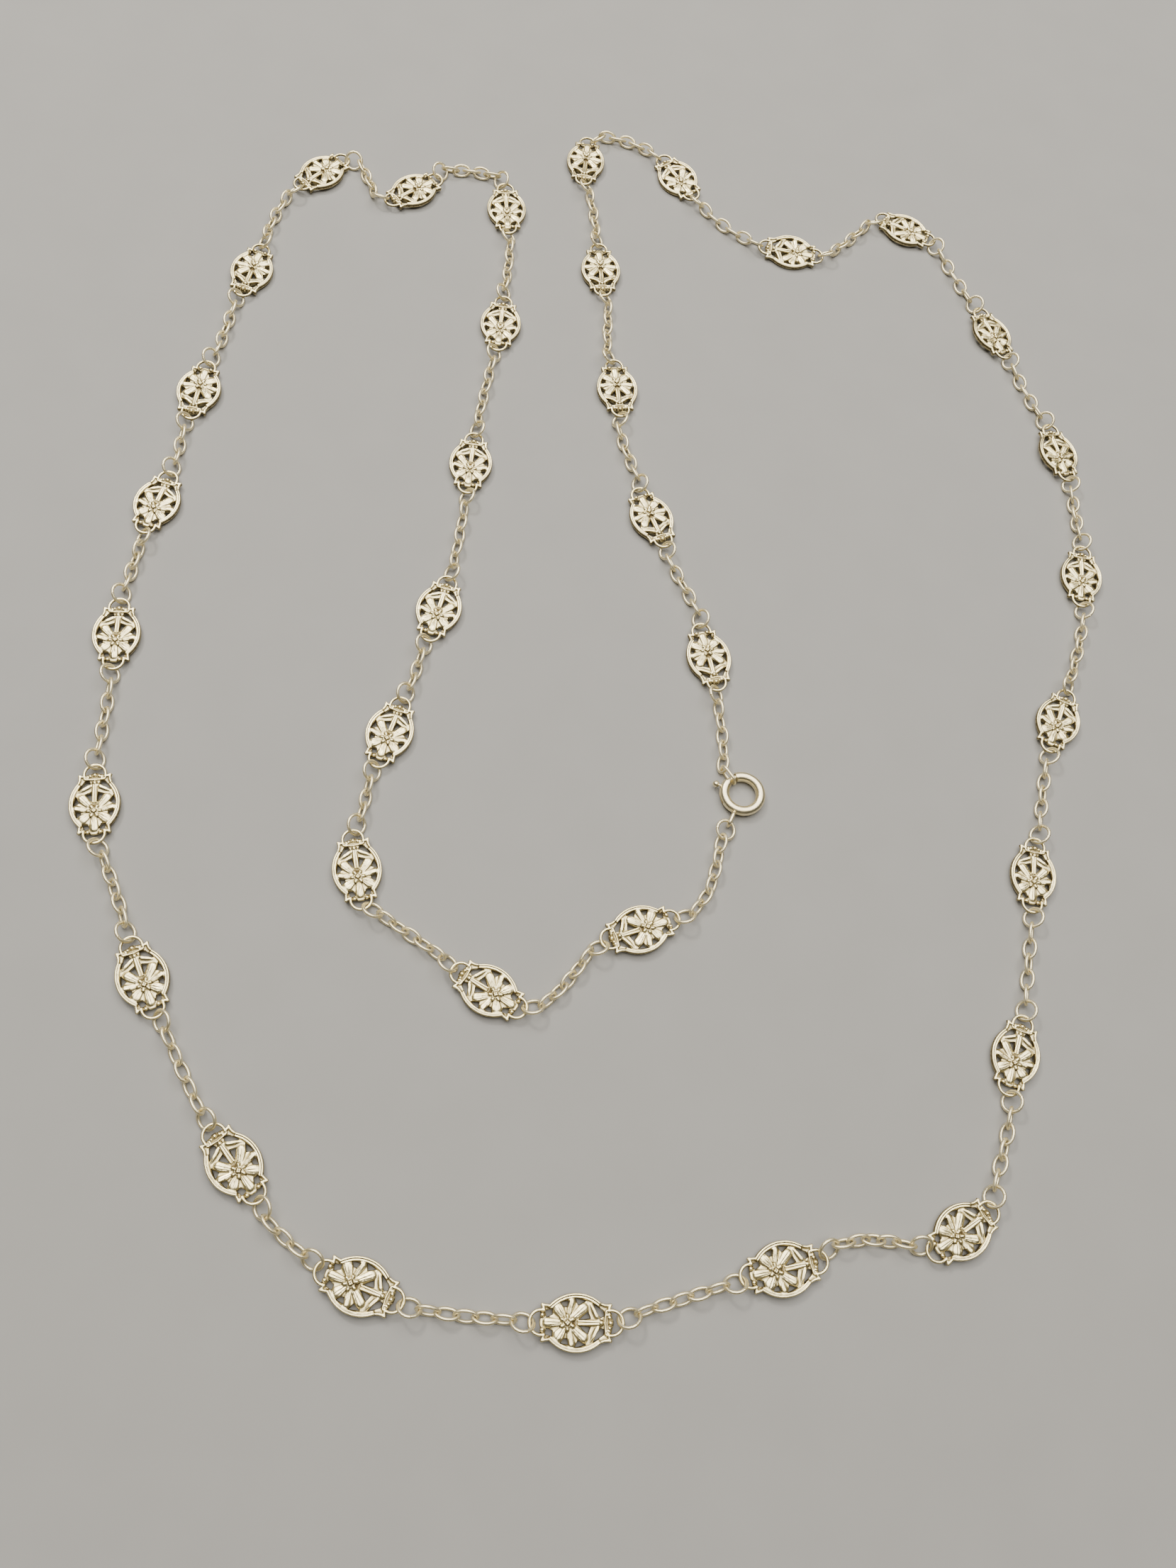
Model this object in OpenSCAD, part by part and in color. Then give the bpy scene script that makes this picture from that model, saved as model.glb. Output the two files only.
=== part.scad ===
// Long silver necklace laid out on a table: thirty-five pierced floral plaques joined by
// stretches of fine oval-link chain, closed by a ring clasp with a sprung sliding bolt.
// Millimetres. The table is the plane z = 0, x runs to the right and y runs away.

/* [Plaque] */
// thickness of the cast sheet
sheet = 0.9; // [0.7:0.05:1.2]
// radius of the two outer edges, which bow outwards
edge_r = 7.7; // [7:0.1:8.5]
// how far each edge's centre lies across the middle line
edge_off = 2.2; // [1.8:0.1:2.8]
// how far the widest place lies towards the flower
edge_x = 0.1; // [-0.5:0.1:0.5]
// half the thickness of the raised rim
rim_r = 0.45; // [0.3:0.05:0.6]
// how far the rim's ridge stays inside the edge
rim_in = 0.55; // [0.45:0.05:0.8]
// half the width of a petal near its round end
petal_half = 0.9; // [0.7:0.05:1.1]
// half the width of a petal where it leaves the flower's eye
petal_root = 0.4; // [0.2:0.05:0.6]
// half the thickness of leaves and stem
leaf_r = 0.5; // [0.35:0.05:0.65]
// radius of the bead in the flower's eye
bead_r = 0.45; // [0.3:0.01:0.6]
// radius of the wire loop at each end
loop_r = 2.3; // [2:0.05:2.6]
// half the thickness of the loop's wire
loop_w = 0.34; // [0.25:0.01:0.4]
// centre of the foot loop from the plaque's middle
foot_x = 7.12; // [6.8:0.01:7.5]
// centre of the head loop from the plaque's middle
head_x = 6.92; // [6.6:0.01:7.3]
// height of both loops above the plaque's back
loop_z = 0.9; // [0.7:0.05:1.1]
// height of the plaque's back above the table, held up by the rings in its loops
rest_z = 0.69; // [0.6:0.01:0.75]

/* [Links] */
// radius of a jump ring to the middle of its wire
ring_r = 2.27; // [2:0.01:2.5]
// half the thickness of a jump ring's wire
ring_w = 0.36; // [0.3:0.01:0.4]
// half length of an oval link to the middle of its wire
oval_a = 2.47; // [2.2:0.01:2.6]
// half width of an oval link to the middle of its wire
oval_b = 1.42; // [1.2:0.01:1.7]
// half the thickness of an oval link's wire
oval_w = 0.35; // [0.25:0.01:0.4]
// how far a jump ring's centre hangs from its loop's centre
ring_at = 3.62; // [3.5:0.01:3.7]
// how far a jump ring leans from lying flat
ring_lean = 43; // [38:1:46]
// how far a jump ring rises away from its loop
ring_pitch = 5; // [2:1:8]
// how far a jump ring shifts to its raised side
ring_side = 0.3; // [0.1:0.01:0.5]

/* [Clasp] */
// middle of the clasp on the table, to the right
clasp_x = 43; // [30:0.5:60]
// middle of the clasp on the table, away
clasp_y = -33; // [-50:0.5:-20]
// height of the clasp's middle above the table
clasp_z = 1.5; // [1.4:0.05:1.7]
// radius of the clasp to the middle of its tube
clasp_r = 4.33; // [4:0.01:4.6]
// half the thickness of the tube
tube_r = 1.15; // [1:0.05:1.3]
// depth of the flat along the ring's inner side, where its tube was closed
seam_flat = 0.05; // [0.03:0.01:0.1]
// radius of the bore in the tube
bore_r = 0.85; // [0.75:0.01:0.95]
// half the thickness of the bolt
bolt_r = 0.65; // [0.5:0.05:0.75]
// where the gap in the tube starts, in degrees round the clasp
gap_from = 124; // [110:1:140]
// where the gap ends
gap_to = 157; // [145:1:165]
// where the closed bolt's tip stands
tip_at = 119; // [115:1:122]
// where the closed bolt ends inside the tube
tail_at = 181; // [170:1:190]
// where the knob stands on the closed bolt
knob_at = 175; // [170:1:180]
// how far the knob's ball stands from the clasp's middle
knob_out = 6.6; // [6:0.1:7]
// radius of the knob's ball
knob_r = 0.8; // [0.5:0.05:0.9]
// how far the bolt slides back to open the clasp, in degrees
slide = 40; // [34:1:45]
// where the soldered eye stands
eye_at = 260; // [250:1:270]

/* [Hidden] */
$fn = 48;
sink = 0.1;                         // rounded parts are sunk this far into the sheet
low = 0.05;                         // what stands on the sheet starts this far above its back
round_end = 0.05;                   // a bar's ball end is this much fatter than the bar
rim_mid = edge_r - rim_in;
clasp_eye = 8.3;                    // where the last jump ring pulls on the eye
hook_at = clasp_r - 0.9;            // near inner end of the link hooked on the bolt
hook_far = hook_at + 2*(oval_a - oval_w);
hook_dir = 140;                     // the hooked link stands in the middle of the gap

// one row a plaque, in the order of the chain, and one for the clasp's own stretch
// x, y, heading of the foot, roll, links to the next, raised side of the first link,
// how far to the left the chain's curve is drawn near its start and near its end
X = 0; Y = 1; TURN = 2; ROLL = 3; LINKS = 4; SIDE = 5; BOW_A = 6; BOW_B = 7;
lay = [
  [27.5, 0, 118, 0, 7, -1, -3, 2], [4.5, 35, 128, 0, 7, -1, -1.5, 4],
  [-14, 72, 111, 0, 7, 1, 3, -2.5], [-28.5, 110.5, 109, 0, 7, 1, -0.5, -1.5],
  [-43, 149, 100, 0, 7, -1, 8, 4.5], [-16, 153, 317, 6, 7, -1, -3, -4],
  [21.5, 137, 7, 6, 7, -1, -4, 3], [52.5, 158, 348, 0, 7, 1, 2, -1.5],
  [83, 128, 305, -6, 7, 1, 0, -1], [106.5, 92.5, 295, -6, 7, 1, 0.5, 0.5],
  [117, 54.5, 275, 0, 8, 1, 3, 0.5], [115.5, 10, 260, 0, 7, 1, -1, 1],
  [114, -32.5, 274, 0, 7, 1, 0.5, 0.5], [115, -76, 264, 0, 7, 1, 3, 0.5],
  [108.5, -116, 227, 0, 7, -1, -2, -6.5], [73, -133, 206, 0, 7, 1, 0.5, -0.5],
  [34.5, -153.5, 194, 0, 7, 1, 0.5, 2], [-8.5, -158, 174, 0, 5, -1, 1, 3],
  [-40, -142.5, 324, 0, 7, -1, 1, -0.5], [-71.5, -112, 310, 0, 7, 1, -0.5, -0.5],
  [-96, -78.5, 292, 0, 7, 1, 0.5, -0.5], [-108, -37.5, 287, 0, 6, 1, 0.5, -0.5],
  [-113, -0.5, 270, 0, 5, 1, -1, 1], [-116, 34.5, 96, 0, 7, 1, -1.5, 1],
  [-117.5, 76.5, 91, 3, 7, -1, 1.5, 3.5], [-112, 117, 60, 0, 6, 1, 7.5, -6],
  [-86, 120, 53, 0, 7, 1, 7, 8], [-59.5, 123, 289, 0, 7, -1, 2, 0],
  [-49.5, 82.5, 280, 0, 8, -1, -0.5, -0.5], [-44, 36, 280, 0, 7, 1, 0.5, 1],
  [-39, -7.5, 271, 0, 5, -1, -0.5, 1], [-40, -42.5, 268, 0, 5, -1, -1, 0.5],
  [-36.5, -76.5, 296, 0, 7, -1, -0.5, 1], [-1, -94.5, 344, 0, 7, -1, -7, 2],
  [27.5, -72, 34, 0, 8, -1, -9.5, 0], [43, -33, 0, 0, 6, -1, -1.5, 0.5]];
last = len(lay);
count = last - 1;
// these are hung the other way round, with the foot towards the start
first_turned = 19; last_turned = 23;
// where the curve's two control points stand along a stretch, a third in from its ends
// but for these fuller bends
full_rows = [[5, 0.2, 0.67], [7, 0.33, 0.75], [26, 0.3, 0.7], [27, 0, 0.95]];

// the openings of the upper half of a plaque
holes = [
  [[-5.45, 1.3], [-5.25, 2.25], [-3.25, 3.5], [-4.0, 1.85], [-4.75, 0.95]],
  [[-2.7, 0.8], [-0.45, 0.55], [-2.2, 2.05]],
  [[-1.8, 4.0], [-0.25, 3.2], [0.35, 4.5]],
  [[1.6, 4.0], [1.9, 2.95], [2.6, 2.9], [3.2, 3.75]],
  [[4.8, 1.5], [5.95, 0.95], [6.3, 2.15], [4.9, 2.5]]];
// the petals: direction from the flower's eye and length
petals = [[0, 4.5], [55, 3.3], [102, 3.85], [140, 4.7],
          [-55, 3.3], [-102, 3.85], [-140, 4.7]];
eye_x = 1.9;                        // the flower's eye
petal_start = 0.4;                  // how far from the eye's middle a petal starts
petal_top = 1.3;                    // height of the petals above the plaque's back
eye_r = 0.8; eye_h = 1.4;
leaf_from = [-4.35, 0.3];           // a leaf's root and tip
leaf_to = [-2.7, 3.35];
stem_from = -5; stem_to = -0.2;
head_curl = [-6.2, 1.9];            // scrolls beside the head loop
foot_bead = [6.85, 1.35];           // beads inside the foot loop
curl_r = 0.62; foot_r = 0.48;
pad_x = -6.6; pad_r = 0.6; pad_h = 1.3;

// The chain's course
function row(k) = lay[k - 1];
function spin(a) = [cos(a), sin(a)];
function along(v) = v / norm(v);
function left(v) = [-v[1], v[0]];
function turned(k) = k >= first_turned && k <= last_turned;
// centre of a plaque's loop on the table, where the chain leaves it and where it comes in
function loop_at(k, foot) = [row(k)[X], row(k)[Y]] + (foot ? foot_x : -head_x)*spin(row(k)[TURN])
  + loop_z*sin(row(k)[ROLL])*spin(row(k)[TURN] - 90);
function leaves(k) = k == last ? [clasp_x, clasp_y] + hook_far*spin(hook_dir) : loop_at(k, !turned(k));
function enters(k) = k == last ? [clasp_x, clasp_y] + clasp_eye*spin(eye_at) : loop_at(k, turned(k));
function next(k) = k == last ? 1 : k + 1;
function found(k) = search(k, full_rows);
function full(k) = len(found(k)) > 0 ? full_rows[found(k)[0]] : [k, 0.33, 0.67];
function bend(t, a, b) = 3*t*(1 - t)*(1 - t)*a + 3*t*t*(1 - t)*b;
// the curve of a stretch, as points a short way apart
fine = 60;
function course(k) = let(a = leaves(k), b = enters(next(k)), d = norm(b - a), u = along(b - a),
  f = full(k))
  [for (i = [0:fine]) let(t = i/fine)
    a + (bend(t, f[1], f[2]) + t*t*t)*d*u + bend(t, row(k)[BOW_A], row(k)[BOW_B])*left(u)];
function sums(v, i = 0, s = 0) = i >= len(v) ? [] : concat([s + v[i]], sums(v, i + 1, s + v[i]));
function lengths(p) = concat([0], sums([for (i = [1:len(p) - 1]) norm(p[i] - p[i - 1])]));
function point(p, s, at) = [lookup(at, [for (i = [0:len(p) - 1]) [s[i], p[i][0]]]),
                            lookup(at, [for (i = [0:len(p) - 1]) [s[i], p[i][1]]])];
// how far the last jump ring's centre hangs from its end of the stretch
function end_reach(k) = k == count ? ring_r - ring_w : ring_at;

// Links. Each is given by its centre, direction, raised side, lean and pitch
function frame(u, side, lean, pitch) = let(t = [u[0]*cos(pitch), u[1]*cos(pitch), sin(pitch)],
  n = [-u[1], u[0], 0], z = cross(t, n), l = cos(lean)*n + side*sin(lean)*z) [t, l, cross(t, l)];
// lowest reach of an ellipse in that frame
function dip(f, a, b) = norm([a*f[0][2], b*f[1][2]]);
module stand(c, z, f) {
  multmatrix([[f[0][0], f[1][0], f[2][0], c[0]], [f[0][1], f[1][1], f[2][1], c[1]],
              [f[0][2], f[1][2], f[2][2], z], [0, 0, 0, 1]]) children();
}
module jump_ring(c, u, side, lean, pitch, lift = 0) {
  f = frame(u, side, lean, pitch);
  stand(c, dip(f, ring_r, ring_r) + ring_w + lift, f)
    rotate_extrude() translate([ring_r, 0]) circle(r = ring_w);
}
// the two jump rings of one stretch hang straight from their loops
module stretch_rings(k) {
  p = course(k); s = lengths(p); whole = s[fine]; side = row(k)[SIDE]; n = row(k)[LINKS];
  other = (n % 2 == 0) ? -side : side;
  if (k != last) {
    u = along(point(p, s, ring_at) - p[0]);
    jump_ring(p[0] + ring_at*u + ring_side*side*left(u), u, side, ring_lean, ring_pitch);
  }
  b = end_reach(k);
  u = along(p[fine] - point(p, s, whole - b));
  if (k == count) jump_ring(p[fine] - b*u, u, other, eye_lean, 0, eye_lift);
  else jump_ring(p[fine] - b*u + ring_side*other*left(u), u, other, ring_lean, -ring_pitch);
}
eye_lean = 20;                      // the ring in the clasp's eye lies flatter
eye_lift = clasp_z - ring_r*sin(eye_lean) - ring_w;
module jump_rings() color("silver") for (k = [1:last]) stretch_rings(k);

// the oval links of a stretch as one tube, round its course, clear of the rings
tube_w = 1.25;                      // half the thickness of the tube
tube_gap = 0.35;                    // kept free past each jump ring's wire
sides = 8;
slight = 3;                         // a stretch that bows less than this is one straight tube
module tube(p) {
  n = len(p);
  dirs = [for (i = [0:n - 1]) along(p[min(n - 1, i + 1)] - p[max(0, i - 1)])];
  pts = [for (i = [0:n - 1]) for (j = [0:sides - 1]) let(a = (j + 0.5)*360/sides)
    [p[i][0] + tube_w*cos(a)*left(dirs[i])[0], p[i][1] + tube_w*cos(a)*left(dirs[i])[1],
     tube_w*(1 + sin(a))]];
  walls = [for (i = [0:n - 2]) for (j = [0:sides - 1])
    let(a = i*sides, b = a + sides, m = (j + 1) % sides) [a + j, a + m, b + m, b + j]];
  near = [for (j = [sides - 1:-1:0]) j];
  far = [for (j = [0:sides - 1]) (n - 1)*sides + j];
  polyhedron(pts, concat([near], walls, [far]));
}
module stretch_tube(k) {
  p = course(k); s = lengths(p); whole = s[fine];
  reach = ring_r + ring_w + tube_gap;
  from = k == last ? 2*oval_w + tube_gap : ring_at + reach;
  to = whole - end_reach(k) - reach;
  bent = max(abs(row(k)[BOW_A]), abs(row(k)[BOW_B])) > slight;
  steps = bent ? 3 : 1;
  tube([for (i = [0:steps]) point(p, s, from + (to - from)*i/steps)]);
}
module oval_chain() color("silver") for (k = [1:last]) stretch_tube(k);

// A plaque, with its middle at the origin, back on z = 0 and foot towards +x
module lens(r, off) {
  intersection() {
    translate([edge_x, -off]) circle(r = r, $fn = 96);
    translate([edge_x, off]) circle(r = r, $fn = 96);
  }
}
head_end = [[-4.6, 3.8], [-5.85, 3.25], [-6.9, 3.65], [-7.1, 3.2], [-6.55, 2.4], [-7.0, 1.6],
  [-7.05, 0.9], [-7.35, 0.4]];
foot_end = [[4.6, 3.95], [5.7, 3.35], [6.9, 3.6], [7.2, 3.3], [6.95, 2.4], [7.3, 2.0],
  [7.05, 1.2], [7.35, 0.5]];
function other_half(v) = concat(v, [for (i = [len(v) - 1:-1:0]) [v[i][0], -v[i][1]]]);
rim_end = 6.6;                      // the bowed edges stop this far from the middle
module sheet_2d() {
  difference() {
    union() {
      intersection() {
        lens(edge_r, edge_off);
        square([2*rim_end, 3*edge_r], center = true);
      }
      polygon(other_half(head_end));
      polygon(other_half(foot_end));
    }
    for (h = holes) {
      polygon(h);
      mirror([0, 1]) polygon(h);
    }
  }
}
module rim_ridge() {
  translate([edge_x, -edge_off, sheet - sink])
    rotate_extrude(angle = rim_to - rim_from, start = rim_from)
      translate([rim_mid, 0]) circle(r = rim_r);
}
rim_from = 42; rim_to = 131;        // the ridge's two ends, in degrees about its centre
shoulder = 0.05;                    // a petal's straight sides end this far inside its round end
module petal(way, long) {
  end = petal_start + long - petal_half;
  wide = petal_half - shoulder;
  translate([eye_x, 0, low]) rotate([0, 0, way]) linear_extrude(petal_top - low) {
    polygon([[petal_start, -petal_root], [end, -wide], [end, wide], [petal_start, petal_root]]);
    translate([end, 0]) circle(r = petal_half);
  }
}
module bar(a, b, r, z) {
  d = b - a;
  translate([a[0], a[1], z]) rotate([0, 0, atan2(d[1], d[0])]) rotate([0, 90, 0])
    cylinder(r = r, h = norm(d));
  translate([b[0], b[1], z]) sphere(r = r + round_end);
}
module half_relief() {
  bar(leaf_from, leaf_to, leaf_r, sheet - sink);
  translate([head_curl[0], head_curl[1], sheet - sink]) sphere(r = curl_r);
  translate([foot_bead[0], foot_bead[1], sheet - sink]) sphere(r = foot_r);
}
loop_turn = 105;                    // a loop's wire runs this many degrees to either side
module end_loop(x) {
  translate([x, 0, loop_z]) rotate_extrude(angle = 2*loop_turn, start = -loop_turn)
    translate([loop_r, 0]) circle(r = loop_w);
}
module plaque_shape() {
  linear_extrude(sheet) sheet_2d();
  rim_ridge();
  mirror([0, 1, 0]) rim_ridge();
  half_relief();
  mirror([0, 1, 0]) half_relief();
  for (p = petals) petal(p[0], p[1]);
  translate([eye_x, 0, low]) cylinder(r = eye_r, h = eye_h - low);
  bar([stem_from, 0], [stem_to, 0], leaf_r, sheet - sink);
  translate([pad_x, 0, low]) cylinder(r = pad_r, h = pad_h - low);
  translate([eye_x, 0, eye_h]) sphere(r = bead_r);
  end_loop(foot_x);
  mirror([1, 0, 0]) end_loop(head_x);
}
module plaque(k) {
  color("silver") translate([row(k)[X], row(k)[Y], rest_z]) rotate([0, 0, row(k)[TURN]])
    rotate([row(k)[ROLL], 0, 0]) plaque_shape();
}

// The clasp, with its middle at the origin
module arc_tube(r, from, to) {
  rotate_extrude(angle = to - from, start = from) translate([clasp_r, 0]) circle(r = r);
}
module at_clasp() translate([clasp_x, clasp_y, clasp_z]) children();
bore_from = 112; bore_to = 245;     // the bore runs on both sides of the gap
slot_room = 9;                      // the slot is this many degrees longer than the knob's way
slot_from = knob_at - slot_room; slot_to = knob_at + slide + slot_room;
slot_half = 0.42;                   // half the height of the slot for the knob
neck_r = 0.3;                       // the knob's neck
eye_long = 0.7; eye_high = 1.0; eye_w = 0.45;
eye_mid = 7.2;
// a stretched ring standing on edge, its long side along x
module standing_oval(half, r, w) {
  rotate([90, 0, 0]) for (s = [0, 180]) rotate([0, 0, s]) {
    translate([half, 0, 0]) rotate_extrude(angle = 180, start = -90)
      translate([r, 0]) circle(r = w);
    translate([-half, r, 0]) rotate([0, 90, 0]) cylinder(r = w, h = 2*half);
  }
}
module clasp_ring() color("silver") at_clasp() {
  difference() {
    arc_tube(tube_r, gap_to, gap_from + 360);
    cylinder(r = clasp_r - tube_r + seam_flat, h = 3*tube_r, center = true);
    arc_tube(bore_r, bore_from, bore_to);
    rotate_extrude(angle = slot_to - slot_from, start = slot_from)
      translate([clasp_r, -slot_half]) square([2*tube_r, 2*slot_half]);
  }
  rotate([0, 0, eye_at]) translate([eye_mid, 0, 0]) standing_oval(eye_long, eye_high, eye_w);
}
module clasp_bolt() color("silver") at_clasp() {
  arc_tube(bolt_r, tip_at, tail_at);
  rotate([0, 0, knob_at]) {
    translate([clasp_r, 0, 0]) rotate([0, 90, 0]) cylinder(r = neck_r, h = knob_out - clasp_r);
    translate([knob_out, 0, 0]) sphere(r = knob_r);
  }
}
module hooked_link() color("silver") translate([clasp_x, clasp_y, oval_b + oval_w])
  rotate([0, 0, hook_dir]) translate([(hook_at + hook_far)/2, 0, 0])
    standing_oval(oval_a - oval_b, oval_b, oval_w);

for (k = [1:count]) plaque(k);
jump_rings();
oval_chain();
clasp_ring();
clasp_bolt();
hooked_link();
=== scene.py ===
# %% [markdown]
# # A long silver necklace, laid out in loose loops
#
# The real piece is a sautoir: thirty-five small cast plaques of pierced silver, joined by
# stretches of fine chain and closed by a bolt ring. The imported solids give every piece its
# place and size, in metres. This script dresses them: it sculpts the plaques, links the
# chain and gives the silver its tarnish.

# %% Load the frame
import math
import bmesh
import bpy
import numpy as np
from mathutils import Matrix, Vector


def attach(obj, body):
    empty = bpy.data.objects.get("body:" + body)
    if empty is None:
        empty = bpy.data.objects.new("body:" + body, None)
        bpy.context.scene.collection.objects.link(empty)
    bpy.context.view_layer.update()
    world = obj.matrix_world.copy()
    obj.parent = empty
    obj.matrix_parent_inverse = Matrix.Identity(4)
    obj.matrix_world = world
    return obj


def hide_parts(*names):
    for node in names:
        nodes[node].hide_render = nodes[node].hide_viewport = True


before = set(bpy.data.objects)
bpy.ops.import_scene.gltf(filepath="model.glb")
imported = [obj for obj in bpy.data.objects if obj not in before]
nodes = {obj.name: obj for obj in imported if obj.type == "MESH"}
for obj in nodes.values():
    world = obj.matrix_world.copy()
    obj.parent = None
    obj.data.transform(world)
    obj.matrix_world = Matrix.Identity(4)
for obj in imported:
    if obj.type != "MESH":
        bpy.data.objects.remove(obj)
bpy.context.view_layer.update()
MM = 0.001

# %% [markdown]
# ## Camera
#
# The photograph looks steeply down on a table, a little turned. All the plaques are one
# casting, so their sizes and slants across the picture fix where the camera stood. It is
# written as a foot point on the table, a height, a pitch below the horizon and a roll.

# %% Camera where the photographer stood
CAMERA_AT, CAMERA_PITCH, CAMERA_ROLL = (7.5, -160, 273), 66.41, 15.92     # mm, degrees
SENSOR = 36                            # its width in mm
FOCAL, ACROSS = 1800, 1659             # focal length and picture width, in the photo's pixels

def aim(position, pitch, roll):
    """A camera looking along +Y, pitched down and rolled, in degrees."""
    p, r = math.radians(pitch), math.radians(roll)
    up0 = Vector((0, math.sin(p), math.cos(p)))
    right = math.cos(r) * Vector((1, 0, 0)) + math.sin(r) * up0
    up = -math.sin(r) * Vector((1, 0, 0)) + math.cos(r) * up0
    back = right.cross(up)
    m = Matrix((right, up, back)).transposed().to_4x4()
    m.translation = Vector(position)
    return m

camera_data = bpy.data.cameras.new("photo_camera")
camera_data.sensor_fit = "HORIZONTAL"
camera_data.sensor_width = SENSOR
camera_data.lens = SENSOR * FOCAL / ACROSS
camera_data.clip_start = 0.01
camera = bpy.data.objects.new("photo_camera", camera_data)
bpy.context.scene.collection.objects.link(camera)
camera.matrix_world = aim([v * MM for v in CAMERA_AT], CAMERA_PITCH, CAMERA_ROLL)
bpy.context.scene.camera = camera
print("camera height", round(camera.location.z / MM), "mm, lens", round(camera_data.lens, 1))

# %% [markdown]
# ## The layout
#
# A jeweller would lay the chain out by hand. Here one row says where each plaque lies, which
# way it points, and how the chain leaves it. The same table is in the part's source, so the
# dressed pieces land exactly on the solids.

# %% Sizes and the layout table, in millimetres and degrees
LOOP_R, LOOP_W, LOOP_Z = 2.3, 0.34, 0.9         # a plaque's loops: radius, wire, height
FOOT_X, HEAD_X, REST_Z = 7.12, 6.92, 0.69       # loops from its middle, its back's height
RING_R, RING_W = 2.27, 0.36                     # jump rings: radius, wire
OVAL_A, OVAL_B, OVAL_W = 2.36, 1.42, 0.35       # oval links: half length, half width, wire
HEX_RING, HEX_OVAL = 0.39, 0.38                 # six-sided wires, about as stout as those
HEX_LIFT = 0.02                                 # keeps their corners off the table
RING_AT, RING_SIDE, MEET = 3.62, 0.3, 1.82      # ring from its loop, aside, on to the next link
RING_LEAN, RING_PITCH = 43, 5
END_LEAN, END_PITCH, OVAL_LEAN = 60, 7, 45      # an oval beside a ring, and the others
CLASP, CLASP_Z, CLASP_R = np.array([43.0, -33.0]), 1.5, 4.33
CLASP_EYE, EYE_AT, EYE_LEAN = 8.3, 260, 20      # the clasp's eye: how far, which way, its ring
HOOK_AT, HOOK_DIR = CLASP_R - 0.9, 140          # the hooked link: how far, which way
HOOK_LONG, HOOK_SLACK = 4.24, 0.4               # its inside length, and the play in it
HOOK_FAR = HOOK_AT + HOOK_LONG
# x, y, heading, roll, links to the next, raised side of the first, bow near start, near end
LAY = [
    (27.5, 0, 118, 0, 7, -1, -3, 2), (4.5, 35, 128, 0, 7, -1, -1.5, 4),
    (-14, 72, 111, 0, 7, 1, 3, -2.5), (-28.5, 110.5, 109, 0, 7, 1, -0.5, -1.5),
    (-43, 149, 100, 0, 7, -1, 8, 4.5), (-16, 153, 317, 6, 7, -1, -3, -4),
    (21.5, 137, 7, 6, 7, -1, -4, 3), (52.5, 158, 348, 0, 7, 1, 2, -1.5),
    (83, 128, 305, -6, 7, 1, 0, -1), (106.5, 92.5, 295, -6, 7, 1, 0.5, 0.5),
    (117, 54.5, 275, 0, 8, 1, 3, 0.5), (115.5, 10, 260, 0, 7, 1, -1, 1),
    (114, -32.5, 274, 0, 7, 1, 0.5, 0.5), (115, -76, 264, 0, 7, 1, 3, 0.5),
    (108.5, -116, 227, 0, 7, -1, -2, -6.5), (73, -133, 206, 0, 7, 1, 0.5, -0.5),
    (34.5, -153.5, 194, 0, 7, 1, 0.5, 2), (-8.5, -158, 174, 0, 5, -1, 1, 3),
    (-40, -142.5, 324, 0, 7, -1, 1, -0.5), (-71.5, -112, 310, 0, 7, 1, -0.5, -0.5),
    (-96, -78.5, 292, 0, 7, 1, 0.5, -0.5), (-108, -37.5, 287, 0, 6, 1, 0.5, -0.5),
    (-113, -0.5, 270, 0, 5, 1, -1, 1), (-116, 34.5, 96, 0, 7, 1, -1.5, 1),
    (-117.5, 76.5, 91, 3, 7, -1, 1.5, 3.5), (-112, 117, 60, 0, 6, 1, 7.5, -6),
    (-86, 120, 53, 0, 7, 1, 7, 8), (-59.5, 123, 289, 0, 7, -1, 2, 0),
    (-49.5, 82.5, 280, 0, 8, -1, -0.5, -0.5), (-44, 36, 280, 0, 7, 1, 0.5, 1),
    (-39, -7.5, 271, 0, 5, -1, -0.5, 1), (-40, -42.5, 268, 0, 5, -1, -1, 0.5),
    (-36.5, -76.5, 296, 0, 7, -1, -0.5, 1), (-1, -94.5, 344, 0, 7, -1, -7, 2),
    (27.5, -72, 34, 0, 8, -1, -9.5, 0), (43, -33, 0, 0, 6, -1, -1.5, 0.5)]
EVEN = (0.33, 0.67)                    # where along a stretch its two bows pull
UNEVEN = {5: (0.2, 0.67), 7: (0.33, 0.75), 26: (0.3, 0.7), 27: (0, 0.95)}
TURNED = range(19, 24)                 # these plaques hang the other way round
LAST = len(LAY)
print("plaques:", LAST - 1, "links:", sum(r[4] for r in LAY))

# %% [markdown]
# ## The course of the chain
#
# Each stretch of chain lies on a Bezier curve from one plaque's loop to the next one's. The
# first and last link of a stretch are round jump rings that pull straight away from their
# loops. Only the stretch on the clasp's bolt starts at the hooked link instead. The oval links
# share what is left of the curve, each one reaching from one meeting point to the next,
# leaning left and right by turns as a laid chain does.

# %% The curve of a stretch
def spin(degrees):
    return np.array([math.cos(math.radians(degrees)), math.sin(math.radians(degrees))])

def unit(v):
    return v / np.linalg.norm(v)

def left(v):
    return np.array([-v[1], v[0]])

def loop_at(k, foot):
    x, y, turn, roll = LAY[k - 1][:4]
    return (np.array([x, y]) + (FOOT_X if foot else -HEAD_X) * spin(turn)
            + LOOP_Z * math.sin(math.radians(roll)) * spin(turn - 90))

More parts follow.
